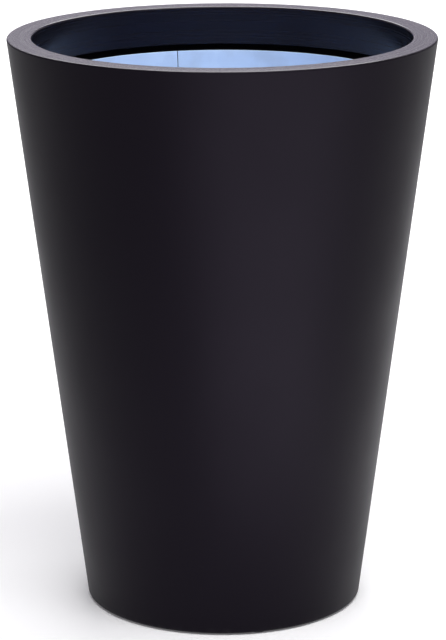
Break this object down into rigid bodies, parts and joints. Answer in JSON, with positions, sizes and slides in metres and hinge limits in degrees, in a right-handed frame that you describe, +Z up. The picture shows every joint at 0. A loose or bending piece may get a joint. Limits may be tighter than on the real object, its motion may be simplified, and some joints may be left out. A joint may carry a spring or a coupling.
{
  "type": "cone planter",
  "caption": "Tall black cone planter with a flat rim and an inner skirt, holding a lift-out sheet-metal liner with folding handles over a drain with a bung.",
  "frame": {"origin": "centre of the circle that the planter stands on, on the floor", "axes": "+Z up along the cone's axis; +Y through the liner's seam; the liner's handles are on +X and -X"},
  "size_m": [0.5524, 0.5524, 0.75],
  "materials": {
    "black_lacquer": "satin-gloss black lacquer on glass-fibre laminate",
    "raw_laminate": "dark topcoated glass-fibre laminate",
    "nylon": "moulded black nylon",
    "rubber": "moulded black rubber",
    "zinc_sheet": "pale galvanised sheet steel",
    "rivet_steel": "zinc-plated steel",
    "handle_wire": "zinc-plated steel wire"
  },
  "bodies": {
    "planter": {"outer_shell": "black_lacquer", "rim_collar": "black_lacquer", "liner_ledge": "raw_laminate", "drain_bush": "nylon", "foot_pads": "rubber"},
    "liner": {"liner_wall": "zinc_sheet", "liner_seam_strip": "zinc_sheet", "liner_floor": "zinc_sheet", "handle_strap_left": "zinc_sheet", "handle_strap_right": "zinc_sheet", "strap_rivets_left": "rivet_steel", "strap_rivets_right": "rivet_steel"},
    "handle_left": {"lift_handle_left": "handle_wire"},
    "handle_right": {"lift_handle_right": "handle_wire"},
    "bung": {"drain_bung": "rubber"}
  },
  "joints": [
    {"name": "liner_lift", "type": "slide", "parent": "planter", "child": "liner", "axis": [0, 0, 1], "range_m": [0, 0.42]},
    {"name": "handle_left_fold", "type": "hinge", "parent": "liner", "child": "handle_left", "pos_m": [-0.22203, 0, 0.66], "axis": [0, -1, 0], "range_deg": [0, 165]},
    {"name": "handle_right_fold", "type": "hinge", "parent": "liner", "child": "handle_right", "pos_m": [0.22203, 0, 0.66], "axis": [0, 1, 0], "range_deg": [0, 165]},
    {"name": "bung_pull", "type": "slide", "parent": "planter", "child": "bung", "axis": [0, 0, 1], "range_m": [0, 0.06]}
  ]
}
